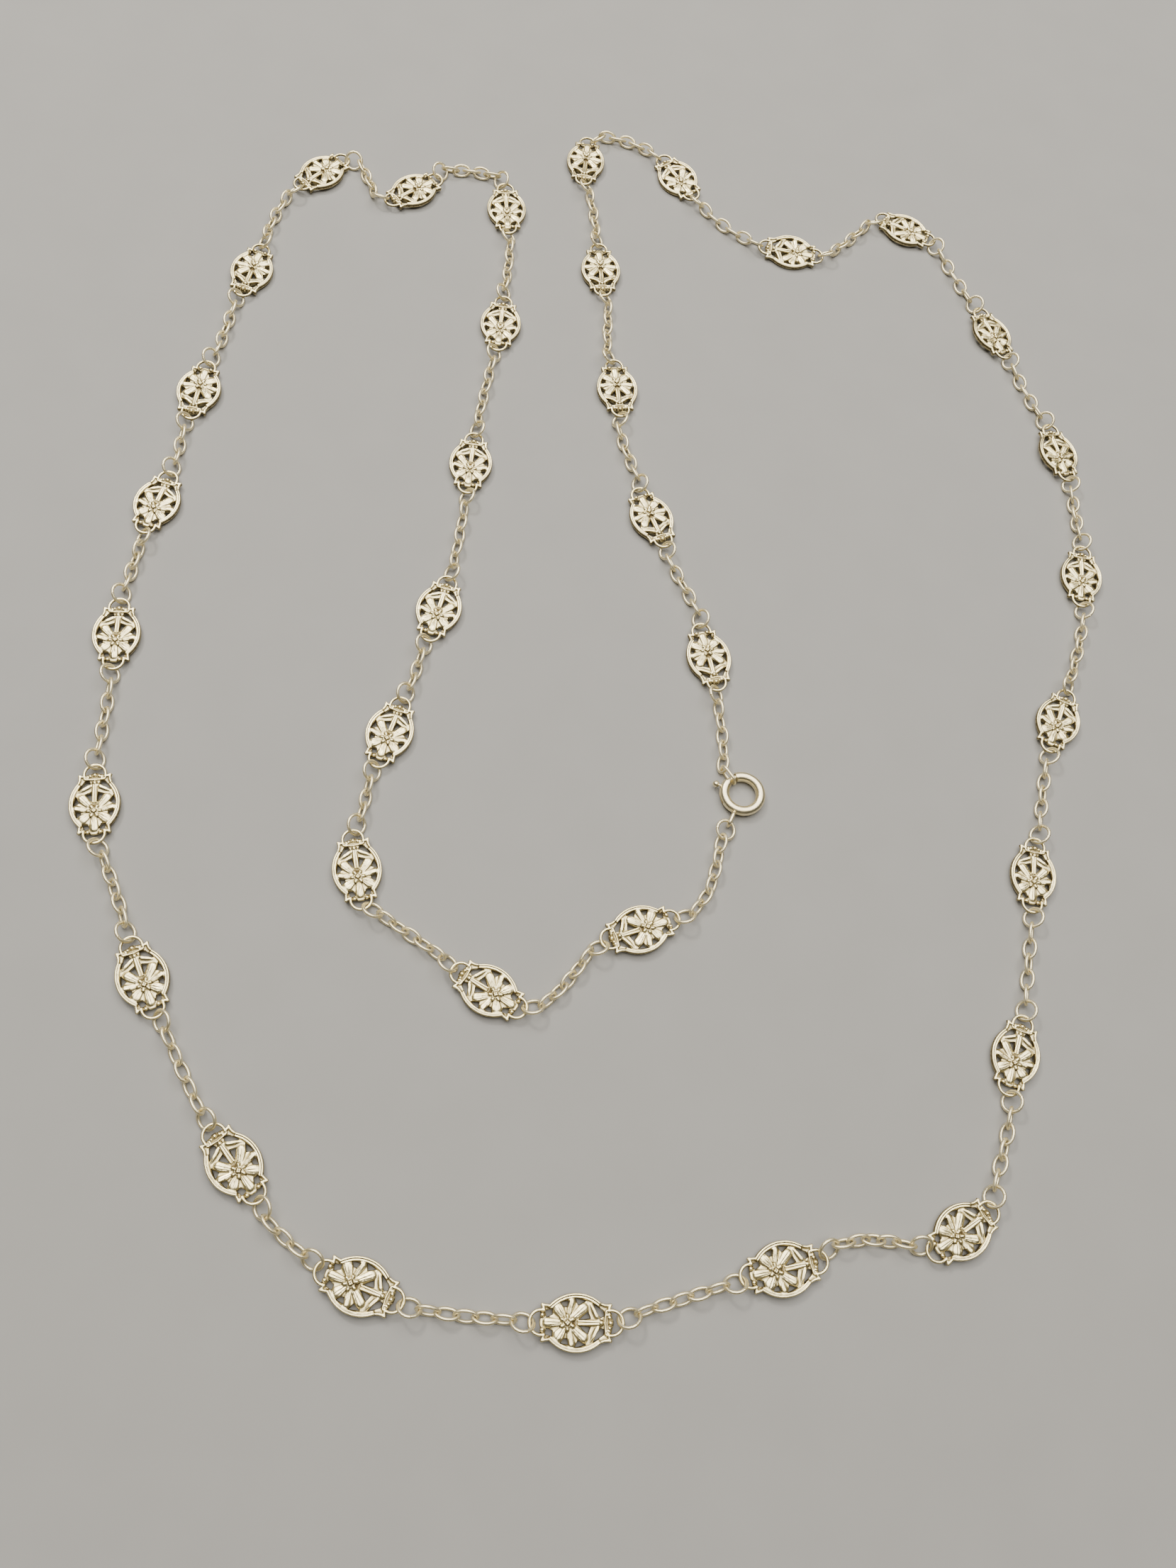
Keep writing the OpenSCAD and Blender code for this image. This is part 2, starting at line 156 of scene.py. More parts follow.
def course(k, steps=240):
    """Points of stretch k and how far along it each one is."""
    start = CLASP + HOOK_FAR * spin(HOOK_DIR) if k == LAST else loop_at(k, k not in TURNED)
    after = k % LAST + 1
    end = CLASP + CLASP_EYE * spin(EYE_AT) if after == LAST else loop_at(after, after in TURNED)
    (f1, f2), (b1, b2) = UNEVEN.get(k, EVEN), LAY[k - 1][6:8]
    t = np.linspace(0, 1, steps + 1)
    wide, u = np.linalg.norm(end - start), unit(end - start)
    first, second = 3 * t * (1 - t) ** 2, 3 * t * t * (1 - t)
    p = (start + np.outer((first * f1 + second * f2 + t ** 3) * wide, u)
         + np.outer(first * b1 + second * b2, left(u)))
    s = np.concatenate([[0], np.cumsum(np.linalg.norm(np.diff(p, axis=0), axis=1))])
    return p, s

def point(p, s, at):
    return np.array([np.interp(at, s, p[:, 0]), np.interp(at, s, p[:, 1])])

# %% Where every link stands
AHEAD = 8                              # steps of a curve that show which way it sets out

def stance(centre, u, side, lean, pitch, a, b, wire, height=None):
    """A link's three axes as columns, and its centre. Without a height it rests on the table."""
    P, L = math.radians(pitch), math.radians(lean)
    t = np.array([u[0] * math.cos(P), u[1] * math.cos(P), math.sin(P)])
    n = np.array([-u[1], u[0], 0])
    l = math.cos(L) * n + side * math.sin(L) * np.cross(t, n)
    z = math.hypot(a * t[2], b * l[2]) + wire + HEX_LIFT if height is None else height
    return np.column_stack([t, l, np.cross(t, l)]), np.array([centre[0], centre[1], z])

def stretch(k):
    """The jump rings and the oval links of one stretch."""
    p, s = course(k)
    count, side = LAY[k - 1][4:6]
    ovals = count - (1 if k == LAST else 2)
    rings, links = [], []
    ring = dict(lean=RING_LEAN, a=RING_R, b=RING_R, wire=RING_W)
    if k == LAST:
        p0, begin = p[0] - HOOK_SLACK * unit(p[AHEAD] - p[0]), -HOOK_SLACK
    else:
        u = unit(point(p, s, RING_AT) - p[0])
        rings.append(stance(p[0] + RING_AT * u + RING_SIDE * side * left(u), u, side,
                            pitch=RING_PITCH, **ring))
        p0, begin, side = p[0] + (RING_AT + MEET) * u, RING_AT + MEET, -side
    back = RING_R - RING_W if k == LAST - 1 else RING_AT
    stop = s[-1] - back - MEET
    u = unit(p[-1] - point(p, s, s[-1] - back))
    meets = ([p0] + [point(p, s, begin + (stop - begin) * i / ovals) for i in range(1, ovals)]
             + [p[-1] - (back + MEET) * u])
    for i in range(ovals):
        first, final = i == 0 and k != LAST, i == ovals - 1 and k != LAST - 1
        pitch = -END_PITCH if first else END_PITCH if final else 0     # not beside the clasp
        links.append(stance((meets[i] + meets[i + 1]) / 2, unit(meets[i + 1] - meets[i]), side,
                            END_LEAN if pitch else OVAL_LEAN, pitch, OVAL_A, OVAL_B, OVAL_W))
        side = -side
    if k == LAST - 1:
        rings.append(stance(p[-1] - back * u, u, side, EYE_LEAN, 0, RING_R, RING_R, RING_W,
                            CLASP_Z))
    else:
        rings.append(stance(p[-1] - back * u + RING_SIDE * side * left(u), u, side,
                            pitch=-RING_PITCH, **ring))
    return rings, links

# %% Lay out every stretch
rings, links, length = [], [], 0
for k in range(1, LAST + 1):
    r, l = stretch(k)
    rings += r; links += l
    length += course(k)[1][-1]
length += (FOOT_X + HEAD_X) * (LAST - 1)
print("jump rings:", len(rings), "oval links:", len(links), "way round in mm:", round(length))

# %% [markdown]
# ## Links, with Geometry Nodes
#
# A link is a piece of wire bent round and soldered shut. One tree makes it once, from a circle
# stretched into an oval and a six-sided wire swept along it, and sets a copy on each point of
# a plain point mesh. Each point carries the turn of its link. Geometry Nodes suit this well:
# the sizes stay named inputs, and the one link is only drawn once.

# %% A small helper for node trees
def socket(tree, name, kind, into=True):
    where = "INPUT" if into else "OUTPUT"
    return tree.interface.new_socket(name, in_out=where, socket_type=kind).identifier

def add(tree, kind, links=(), **settings):
    """A node of this type, its settings first, then values or links for its sockets."""
    n = tree.nodes.new(kind)
    for name, value in settings.items():
        setattr(n, name, value)
    for key, value in dict(links).items():
        if isinstance(value, bpy.types.NodeSocket):
            tree.links.new(value, n.inputs[key])
        else:
            n.inputs[key].default_value = value
    return n

# %% The link tree
WIRE_SIDES, SEAM_AT = 6, 2.0           # corners of the wire, and the seam's place in radians

def link_tree():
    """The tree, and the identifiers of the inputs that chain_piece sets."""
    tree = bpy.data.node_groups.new("wire_links", "GeometryNodeTree")
    socket(tree, "Places", "NodeSocketGeometry")
    ids = {}
    for name in ("Half length", "Half width", "Wire radius", "Seam"):
        ids[name] = socket(tree, name, "NodeSocketFloat")
    ids["Round steps"] = socket(tree, "Round steps", "NodeSocketInt")
    ids["Material"] = socket(tree, "Material", "NodeSocketMaterial")
    socket(tree, "Links", "NodeSocketGeometry", into=False)
    start = add(tree, "NodeGroupInput").outputs
    wide = add(tree, "ShaderNodeMath", {0: 2 * math.pi, 1: start["Seam"]}, operation="SUBTRACT")
    cut = add(tree, "GeometryNodeCurveArc", {"Radius": 1.0, "Resolution": start["Round steps"],
                                            "Start Angle": SEAM_AT,
                                            "Sweep Angle": wide.outputs[0]})
    whole = add(tree, "GeometryNodeCurvePrimitiveCircle", {"Radius": 1.0,
                                                          "Resolution": start["Round steps"]})
    has_seam = add(tree, "FunctionNodeCompare", {0: start["Seam"], 1: 0.0},
                   operation="GREATER_THAN")
    line = add(tree, "GeometryNodeSwitch", {"Switch": has_seam.outputs[0],
                                           "False": whole.outputs["Curve"],
                                           "True": cut.outputs["Curve"]}, input_type="GEOMETRY")
    place = add(tree, "GeometryNodeInputPosition")
    size = add(tree, "ShaderNodeCombineXYZ", {0: start["Half length"], 1: start["Half width"]})
    bent = add(tree, "ShaderNodeVectorMath", {0: place.outputs[0], 1: size.outputs[0]},
               operation="MULTIPLY")
    oval = add(tree, "GeometryNodeSetPosition", {"Geometry": line.outputs[0],
                                                "Position": bent.outputs[0]})
    wire = add(tree, "GeometryNodeCurvePrimitiveCircle", {"Resolution": WIRE_SIDES,
                                                         "Radius": start["Wire radius"]})
    swept = add(tree, "GeometryNodeCurveToMesh", {"Curve": oval.outputs[0],
                                                 "Profile Curve": wire.outputs["Curve"],
                                                 "Fill Caps": has_seam.outputs[0]})
    smooth = add(tree, "GeometryNodeSetShadeSmooth", {0: swept.outputs[0]})
    turn = add(tree, "GeometryNodeInputNamedAttribute", {"Name": "turn"}, data_type="FLOAT_VECTOR")
    rotation = add(tree, "FunctionNodeEulerToRotation", {0: turn.outputs[0]})
    copies = add(tree, "GeometryNodeInstanceOnPoints", {"Points": start["Places"],
                                                       "Instance": smooth.outputs[0],
                                                       "Rotation": rotation.outputs[0]})
    real = add(tree, "GeometryNodeRealizeInstances", {0: copies.outputs[0]})
    clad = add(tree, "GeometryNodeSetMaterial", {"Geometry": real.outputs[0],
                                                "Material": start["Material"]})
    add(tree, "NodeGroupOutput", {0: clad.outputs[0]})
    return tree, ids

LINK_TREE, LINK_IDS = link_tree()
print("link tree:", len(LINK_TREE.nodes), "nodes, inputs:", ", ".join(LINK_IDS))

# %% [markdown]
# ## Silver
#
# Old silver is not one colour. It is pale and warm where fingers polish it, and brown-black in
# the hollows where sulphur in the air has settled. Its shine is broken by fine scratches. The
# shader reads an attribute named hollow, which the sculpting step measures, and breaks it up
# with noise. The maths is written as plain expressions through a small class.

# %% Shader maths as expressions
class Value:
    """A socket that can be added to, multiplied and so on."""
    def __init__(self, tree, socket):
        self.tree, self.socket = tree, socket

    def math(self, operation, other, clamp=False):
        n = self.tree.nodes.new("ShaderNodeMath")
        n.operation, n.use_clamp = operation, clamp
        for i, v in enumerate((self, other)):
            if isinstance(v, Value):
                self.tree.links.new(v.socket, n.inputs[i])
            else:
                n.inputs[i].default_value = v
        return Value(self.tree, n.outputs[0])

    def __add__(self, o): return self.math("ADD", o)
    __radd__ = __add__
    def __mul__(self, o): return self.math("MULTIPLY", o)
    def __sub__(self, o): return self.math("SUBTRACT", o)
    def held(self): return self.math("ADD", 0.0, clamp=True)     # between 0 and 1

class Finish:
    """A material with a Principled shader and one method for every other node."""
    def __init__(self, name, color, roughness, **constants):
        self.material = bpy.data.materials.new(name)
        self.material.use_nodes = True
        self.material.diffuse_color = (*color, 1)
        self.tree = self.material.node_tree
        self.shader = self.tree.nodes["Principled BSDF"]
        for key, value in {"Base Color": (*color, 1), "Roughness": roughness, **constants}.items():
            self.shader.inputs[key].default_value = value

    def node(self, kind, inputs=(), out=0, **settings):
        n = self.tree.nodes.new(kind)
        for key, value in settings.items():
            setattr(n, key, value)
        for key, value in dict(inputs).items():
            if isinstance(value, Value):
                self.tree.links.new(value.socket, n.inputs[key])
            else:
                n.inputs[key].default_value = value
        return Value(self.tree, n.outputs[out])

    def noise(self, scale, detail=3.0, rough=0.5):
        where = self.node("ShaderNodeTexCoord", out="Object")
        return self.node("ShaderNodeTexNoise", {"Vector": where, "Scale": scale, "Detail": detail,
                                                "Roughness": rough})

    def blend(self, factor, a, b):
        """A colour or a value, mixed with a colour."""
        a = (*a, 1) if isinstance(a, tuple) else a
        return self.node("ShaderNodeMix", {0: factor, 6: a, 7: (*b, 1)}, out=2, data_type="RGBA")

    def put(self, name, value):
        self.tree.links.new(value.socket, self.shader.inputs[name])

# %% Cast, drawn and worn silver
CLOUDS, SCRATCHES = 420, 2600          # how fine the two noises are
PATCHY = 0.5                           # how far the clouds break up the tarnish
WARMER = (1.0, 0.965, 0.9)             # from the light colour to its warm patches
DIRT_ROUGH, SCRATCH_ROUGH = 0.3, 0.18  # what tarnish and scratches add to the roughness
SCRATCH_BUMP, BUMP_STRENGTH, BUMP_DEPTH = 0.6, 0.5, 0.08     # the depth in mm

def silver(name, light, dark, roughness, tarnish):
    f = Finish(name, light, roughness, Metallic=1.0)
    hollow = f.node("ShaderNodeAttribute", out="Fac", attribute_name="hollow")
    cloud, grain = f.noise(CLOUDS), f.noise(SCRATCHES, 4.0, 0.6)
    dirt = ((hollow + (cloud - 0.5) * PATCHY) * tarnish).held()
    warm = f.blend(cloud, light, tuple(c * k for c, k in zip(light, WARMER)))
    f.put("Base Color", f.blend(dirt, warm, dark))
    f.put("Roughness", (roughness + dirt * DIRT_ROUGH + (grain - 0.5) * SCRATCH_ROUGH).held())
    f.put("Normal", f.node("ShaderNodeBump", {"Height": grain * SCRATCH_BUMP + cloud,
                                              "Strength": BUMP_STRENGTH,
                                              "Distance": BUMP_DEPTH * MM}))
    return f.material

# colour where polished, colour in the hollows, roughness, tarnish
cast_silver = silver("cast_silver", (0.98, 0.87, 0.52), (0.10, 0.07, 0.03), 0.30, 1.1)
wire_silver = silver("drawn_silver", (0.97, 0.88, 0.60), (0.18, 0.14, 0.08), 0.42, 0.7)
clasp_silver = silver("worn_silver", (0.93, 0.84, 0.57), (0.18, 0.14, 0.09), 0.33, 1.0)
print("materials:", [m.name for m in (cast_silver, wire_silver, clasp_silver)])

# %% [markdown]
# ## The links in their places
#
# Jump rings and oval links make one piece each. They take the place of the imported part's rings
# and of the tubes that stand for its chain. The rings are cut at a fine seam, since a jeweller
# opens and closes them. The ovals are soldered and whole.

# %% One mesh of many links
WELD = 0.02                            # points of one wire nearer than this are one

def as_mesh(name, verts, faces=()):
    mesh = bpy.data.meshes.new(name)
    mesh.from_pydata([tuple(v) for v in verts], [], [tuple(f) for f in faces])
    mesh.update()
    return mesh

def chain_piece(name, stances, settings, material, stands_for):
    """One plain mesh of links, made by the tree from a point a link."""
    mesh = as_mesh(name, [c * MM for _, c in stances])
    turn = mesh.attributes.new("turn", "FLOAT_VECTOR", "POINT")
    for i, (axes, _) in enumerate(stances):
        turn.data[i].vector = Matrix(axes.tolist()).to_euler("XYZ")
    work = bpy.data.objects.new(name + "_places", mesh)
    bpy.context.scene.collection.objects.link(work)
    wires = work.modifiers.new("links", "NODES")
    wires.node_group = LINK_TREE
    for key, value in {**settings, "Material": material}.items():
        wires[LINK_IDS[key]] = value
    made = bpy.data.meshes.new_from_object(work.evaluated_get(
        bpy.context.evaluated_depsgraph_get()))
    bpy.data.objects.remove(work)
    weld = bmesh.new()
    weld.from_mesh(made)
    bmesh.ops.remove_doubles(weld, verts=weld.verts, dist=WELD * MM)
    bmesh.ops.recalc_face_normals(weld, faces=weld.faces)
    weld.to_mesh(made)
    weld.free()
    obj = bpy.data.objects.new(name, made)
    bpy.context.scene.collection.objects.link(obj)
    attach(obj, "necklace")
    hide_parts(stands_for)
    lowest = min(v.co.z for v in made.vertices) / MM
    triangles = sum(len(p.vertices) - 2 for p in made.polygons)
    print(name, len(stances), "links, lowest", round(lowest, 3), "mm,", triangles, "triangles")

# %% The oval links and the jump rings
def link_sizes(long, wide, wire, seam, steps):
    """Sizes in millimetres, the seam in radians."""
    return {"Half length": long * MM, "Half width": wide * MM, "Wire radius": wire * MM,
            "Seam": seam, "Round steps": steps}

chain_piece("oval_links", links, link_sizes(OVAL_A, OVAL_B, HEX_OVAL, 0.0, 16),
            wire_silver, "oval_chain")
chain_piece("jump_ring_wires", rings, link_sizes(RING_R, RING_R, HEX_RING, 0.03, 18),
            wire_silver, "jump_rings")

# %% [markdown]
# ## A plaque, sculpted as a field
#
# The real plaques are cast from one model, with soft edges where the metal ran. Bevelled boxes
# never look like that. So the plaque is written as a field: a number at each point of a fine
# grid, below zero inside the metal. Forms join with a small fillet, openings are cut the same
# way, and a surface is then drawn where the field crosses zero. All lengths are millimetres.

# %% Field helpers
def merge(a, b, k=0.12):
    """Joins two fields with a fillet of about k."""
    return np.minimum(a, b) - np.maximum(k - np.abs(a - b), 0) ** 2 / (4 * k)

def carve(a, b, k=0.12):
    """Takes b out of a, with a softened edge."""
    return -merge(-a, b, k)

def from_outline(x, y, outline):
    """Signed distance to a closed outline, below zero inside."""
    pts = np.array(outline, float)
    best, inside = np.full(x.shape, 1e9), np.zeros(x.shape, bool)
    for a, b in zip(pts, np.roll(pts, -1, axis=0)):
        d = b - a
        t = np.clip(((x - a[0]) * d[0] + (y - a[1]) * d[1]) / (d @ d), 0, 1)
        best = np.minimum(best, (x - a[0] - t * d[0]) ** 2 + (y - a[1] - t * d[1]) ** 2)
        crosses = (a[1] > y) != (b[1] > y)
        with np.errstate(divide="ignore", invalid="ignore"):
            inside ^= crosses & (x < a[0] + (y - a[1]) * d[0] / d[1])
    return np.where(inside, -1, 1) * np.sqrt(best)

def wire_along(x, y, z, path, radius, height):
    """A round wire through flat points at this height. Its radius may change along it."""
    best = np.full(np.broadcast(x, y, z).shape, 1e9)
    radii = np.broadcast_to(np.asarray(radius, float), len(path))
    points = np.array(path, float)
    for a, b, ra, rb in zip(points[:-1], points[1:], radii[:-1], radii[1:]):
        d = b - a
        t = np.clip(((x - a[0]) * d[0] + (y - a[1]) * d[1]) / (d @ d), 0, 1)
        best = np.minimum(best, np.hypot(np.hypot(x - a[0] - t * d[0], y - a[1] - t * d[1]),
                                         z - height) - ra - (rb - ra) * t)
    return best

def arc(cx, cy, r, a0, a1, steps=24):
    return [(cx + r * math.cos(math.radians(a)), cy + r * math.sin(math.radians(a)))
            for a in np.linspace(a0, a1, steps)]

def ball(x, y, z, at, r):
    return np.sqrt((x - at[0]) ** 2 + (y - at[1]) ** 2 + (z - at[2]) ** 2) - r

# %% Forms of the plaque, as in the part's source
EDGE_R, EDGE_OFF, EDGE_X, SHEET = 7.7, 2.2, 0.1, 0.9     # long edges' arc, and the thickness
HOLES = [                                                # five openings, mirrored to ten
    [(-5.45, 1.3), (-5.25, 2.25), (-3.25, 3.5), (-4.0, 1.85), (-4.75, 0.95)],
    [(-2.7, 0.8), (-0.45, 0.55), (-2.2, 2.05)],
    [(-1.8, 4.0), (-0.25, 3.2), (0.35, 4.5)],
    [(1.6, 4.0), (1.9, 2.95), (2.6, 2.9), (3.2, 3.75)],
    [(4.8, 1.5), (5.95, 0.95), (6.3, 2.15), (4.9, 2.5)]]
PETALS = [(way * side, long, half) for side in (1, -1)       # direction, length, half width
          for way, long, half in ((55, 3.65, 1.15), (102, 4.3, 0.8), (140, 4.75, 1.08))]
PETALS.append((0, 4.5, 1.0))
EYE_X, PETAL_START, PETAL_ROOT = 1.9, 0.4, 0.4
HEAD_END = [(-7.35, 0.4), (-7.05, 0.9), (-7.0, 1.6), (-6.55, 2.4), (-7.1, 3.2), (-6.9, 3.65),
            (-5.85, 3.25)]
FOOT_END = [(5.7, 3.35), (6.9, 3.6), (7.2, 3.3), (6.95, 2.4), (7.3, 2.0), (7.05, 1.2),
            (7.35, 0.5)]

def outline():
    top = HEAD_END + arc(EDGE_X, -EDGE_OFF, EDGE_R, 128, 45, 30) + FOOT_END
    return top + [(x, -y) for x, y in reversed(top)]

# %% One petal of the flower
PETAL_LOW, PETAL_TOP = 0.1, 0.92       # its underside and its edge
PETAL_DOME, PETAL_RISE = 0.22, 0.12    # how far it is domed, and how much more at the tip
MIDDLE_DEEP, MIDDLE_WIDE, SIDE_DEEP, SIDE_WIDE = 0.20, 0.11, 0.13, 0.09     # its grooves
GROOVE_ENDS = 1.25                     # they fade towards the tip

def petal(x, y, z, way, long, wide):
    """A blunt petal that widens outwards, domed, with three fine grooves along it."""
    c, s = spin(way)
    along, across = (x - EYE_X) * c + y * s - PETAL_START, y * c - (x - EYE_X) * s
    end = long - wide
    t = np.clip(along / end, 0, 1)
    half = PETAL_ROOT + (wide - PETAL_ROOT) * t
    side = np.hypot(along - t * end, across) - half
    dome = 1 - np.clip((side + half) / half, 0, 1) ** 3
    lines = (MIDDLE_DEEP * np.exp(-(across / MIDDLE_WIDE) ** 2)
             + SIDE_DEEP * np.exp(-((np.abs(across) - 0.5 * half) / SIDE_WIDE) ** 2))
    top = (PETAL_TOP + (PETAL_DOME + PETAL_RISE * t) * dome
           - lines * np.clip(GROOVE_ENDS - along / long, 0, 1))
    return np.maximum(np.maximum(side, z - top), PETAL_LOW - z)

# %% The field itself
SHEET_LESS, SHEET_EDGE = 0.03, 0.25    # it is cast a little thinner, with rounded edges

def sheet_field(x, y, z):
    """The cast sheet with rounded edges."""
    flat = from_outline(x[:, :, 0], y[:, :, 0], outline())[:, :, None]
    half, edge = SHEET / 2 - SHEET_LESS, SHEET_EDGE
    a, b = flat + edge, np.abs(z - half) - half + edge
    return np.minimum(np.maximum(a, b), 0) + np.hypot(np.maximum(a, 0), np.maximum(b, 0)) - edge

def plaque_field(x, y, z):
    """The whole plaque. What is set on y1 is mirrored from one long half to the other."""
    d = sheet_field(x, y, z)
    y1 = np.abs(y)
    def wire(path, radius, high, k=0.06):
        return merge(d, wire_along(x, y1, z, path, radius, high), k)
    for r, radius, high in ((7.42, 0.27, 1.0), (6.93, 0.23, 0.93)):          # the double rim
        d = wire(arc(EDGE_X, -EDGE_OFF, r, 44, 129), radius, high)
    d = wire([(5.3, 3.1), (5.9, 3.1), (6.5, 3.2), (6.95, 3.4)], (0.26, 0.32, 0.33, 0.22), 0.88)
    d = wire([(-4.6, 3.55), (-5.6, 3.2), (-6.2, 3.2), (-6.75, 3.4)], (0.26, 0.3, 0.32, 0.22), 0.88)
    d = wire([(6.95, 3.3), (6.65, 2.7), (6.5, 2.2)], (0.26, 0.3, 0.32), 0.9)  # spurs to loops
    d = wire([(-6.75, 3.3), (-6.4, 2.7), (-6.35, 2.2)], (0.26, 0.3, 0.32), 0.9)
    for way, long, wide in PETALS:
        d = merge(d, petal(x, y, z, way, long, wide), 0.08)
    leaf = [(-4.45, 0.4), (-3.95, 1.3), (-3.35, 2.4), (-2.6, 3.55)]          # and its groove
    d = wire(leaf, (0.34, 0.62, 0.58, 0.26), 0.66, 0.1)
    d = carve(d, wire_along(x, y1, z, leaf, 0.12, 1.3), 0.06)
    d = wire([(-4.7, 0.22), (-0.3, 0.32)], 0.32, 0.84)                       # the stem's two ribs
    d = wire([(-5.55, 0.0), (-5.7, 1.6)], 0.17, 0.95)                        # and its cross bar
    for at, r in (((-4.85, 0.0, 0.85), 0.52), ((-6.7, 0.0, 0.8), 0.5), ((-6.5, 0.95, 0.8), 0.42),
                  ((-6.15, 1.85, 0.92), 0.2), ((6.85, 1.35, 0.8), 0.48)):    # beads at the ends
        d = merge(d, ball(x, y1, z, at, r), 0.05)
    d = wire(arc(-6.15, 1.85, 0.45, -150, 140, 14), 0.2, 0.94)               # the head's scrolls
    eye = np.hypot(x - EYE_X, y)                                             # the inner flower
    d = merge(d, np.maximum(eye - 1.0, z - 1.28 + 0.1 * eye), 0.06)
    for a in range(30, 390, 60):
        lobe = [(EYE_X + r * spin(a)[0], r * spin(a)[1]) for r in (0.55, 1.25)]
        d = merge(d, wire_along(x, y, z, lobe, (0.27, 0.4), 1.02), 0.02)
    for a in range(0, 360, 90):
        d = merge(d, ball(x, y, z, (EYE_X + 0.3 * spin(a)[0], 0.3 * spin(a)[1], 1.4), 0.25), 0.02)
    for hole in HOLES:                                                       # wider on top
        cut = from_outline(x[:, :, 0], y1[:, :, 0], hole)[:, :, None]
        d = carve(d, cut - 0.05 + 0.10 * (SHEET - z), 0.12)
    for at, turned in ((FOOT_X, 1), (-HEAD_X, -1)):
        ring = [(at + turned * LOOP_R * c, LOOP_R * s) for c, s in arc(0, 0, 1, -105, 105, 28)]
        d = merge(d, wire_along(x, y, z, ring, LOOP_W, LOOP_Z), 0.1)
    return d

# %% Draw the surface where the field crosses zero
def surface(field, low, step):
    """Surface nets: one vertex in each cell that the surface passes through."""
    shape = np.array(field.shape) - 1
    total, hits = np.zeros((*shape, 3)), np.zeros(shape)
    inside = field < 0
    for axis in range(3):
        a = np.moveaxis(field, axis, 0)
        crossing = np.moveaxis(inside, axis, 0)
        crossing = crossing[:-1] != crossing[1:]
        with np.errstate(divide="ignore", invalid="ignore"):
            t = np.where(crossing, a[:-1] / (a[:-1] - a[1:]), 0)
        grid = np.moveaxis(np.stack(np.indices(field.shape), -1).astype(float), axis, 0)[:-1]
        grid[..., axis] += t
        grid *= crossing[..., None]
        sums, seen = np.moveaxis(total, axis, 0), np.moveaxis(hits, axis, 0)
        for j in (0, 1):
            for k in (0, 1):
                cut = (slice(None), slice(j, crossing.shape[1] - 1 + j),
                       slice(k, crossing.shape[2] - 1 + k))
                sums += grid[cut]
                seen += crossing[cut]
    number = np.full(tuple(shape), -1)
    number[hits > 0] = np.arange((hits > 0).sum())
    verts = low + step * (total[hits > 0] / hits[hits > 0][:, None])
    faces = []
    for axis in range(3):
        order = (axis, (axis + 1) % 3, (axis + 2) % 3)
        ins, num = inside.transpose(order), number.transpose(order)
        out = (ins[:-1] & ~ins[1:])[:, 1:-1, 1:-1]
        into = (~ins[:-1] & ins[1:])[:, 1:-1, 1:-1]
        quad = np.stack([num[:, :-1, :-1], num[:, 1:, :-1], num[:, 1:, 1:], num[:, :-1, 1:]], -1)
        faces += [quad[out], quad[into][:, ::-1]]
    return verts, np.concatenate(faces)

# %% The plaque's net
GRID = 0.1
LOW, HIGH = np.array([-9.8, -5.9, -0.2]), np.array([10.0, 5.9, 1.9])
axes = [np.arange(LOW[i], HIGH[i] + GRID, GRID) for i in range(3)]
gx, gy, gz = np.meshgrid(*axes, indexing="ij")
metal = plaque_field(gx, gy, gz)
points, quads = surface(metal, LOW, GRID)
print("plaque net:", len(points), "points,", len(quads), "quads")

# %% [markdown]
# ## From net to casting
#
# The net is smoothed a little and thinned to what the eye can see, since thirty-five copies are
# shown. The hollow of a point is how far it lies below the highest metal close by. That is
# where the tarnish stays, and where a polishing cloth never reaches.

# %% Thin the net and measure its hollows
KEPT_QUADS = 9000                      # so much of the net is kept, as twice as many triangles
CLOSE_BY = 0.35                        # the highest metal is looked for this far round
CLEAN, TARNISHED = 0.07, 0.28          # depth that stays clean, and how much more is full dirt
SIDES_BELOW = 0.6                      # the sheet's sides, under this, are half as dirty

def casting():
    work = bpy.data.objects.new("casting", as_mesh("casting", points * MM, quads))
    bpy.context.scene.collection.objects.link(work)
    soft = work.modifiers.new("soft", "SMOOTH")
    soft.factor, soft.iterations = 0.5, 1
    thin = work.modifiers.new("thin", "DECIMATE")
    thin.ratio = min(1.0, KEPT_QUADS / len(quads))
    mesh = bpy.data.meshes.new_from_object(work.evaluated_get(
        bpy.context.evaluated_depsgraph_get()))
    bpy.data.objects.remove(work)
    return mesh

def highest_near(a, n):
    """The highest value within n cells of each cell."""
    pad, out = np.pad(a, n), a.copy()
    for i in range(2 * n + 1):
        for j in range(2 * n + 1):
            if math.hypot(i - n, j - n) <= n:
                out = np.maximum(out, pad[i:i + a.shape[0], j:j + a.shape[1]])
    return out

master = casting()
co = np.zeros(len(master.vertices) * 3)
master.vertices.foreach_get("co", co)
co = co.reshape(-1, 3) / MM
height = np.where((metal < 0).any(axis=2), (gz * (metal < 0)).max(axis=2), 0)
around = highest_near(height, round(CLOSE_BY / GRID))
index = np.clip(((co[:, :2] - LOW[:2]) / GRID).round().astype(int), 0, np.array(height.shape) - 1)
depth = around[index[:, 0], index[:, 1]] - co[:, 2]
hollow = np.clip((depth - CLEAN) / TARNISHED, 0, 1) * np.where(co[:, 2] < SIDES_BELOW, 0.5, 1)
print("casting:", len(master.polygons), "faces, mean hollow", round(float(hollow.mean()), 2))

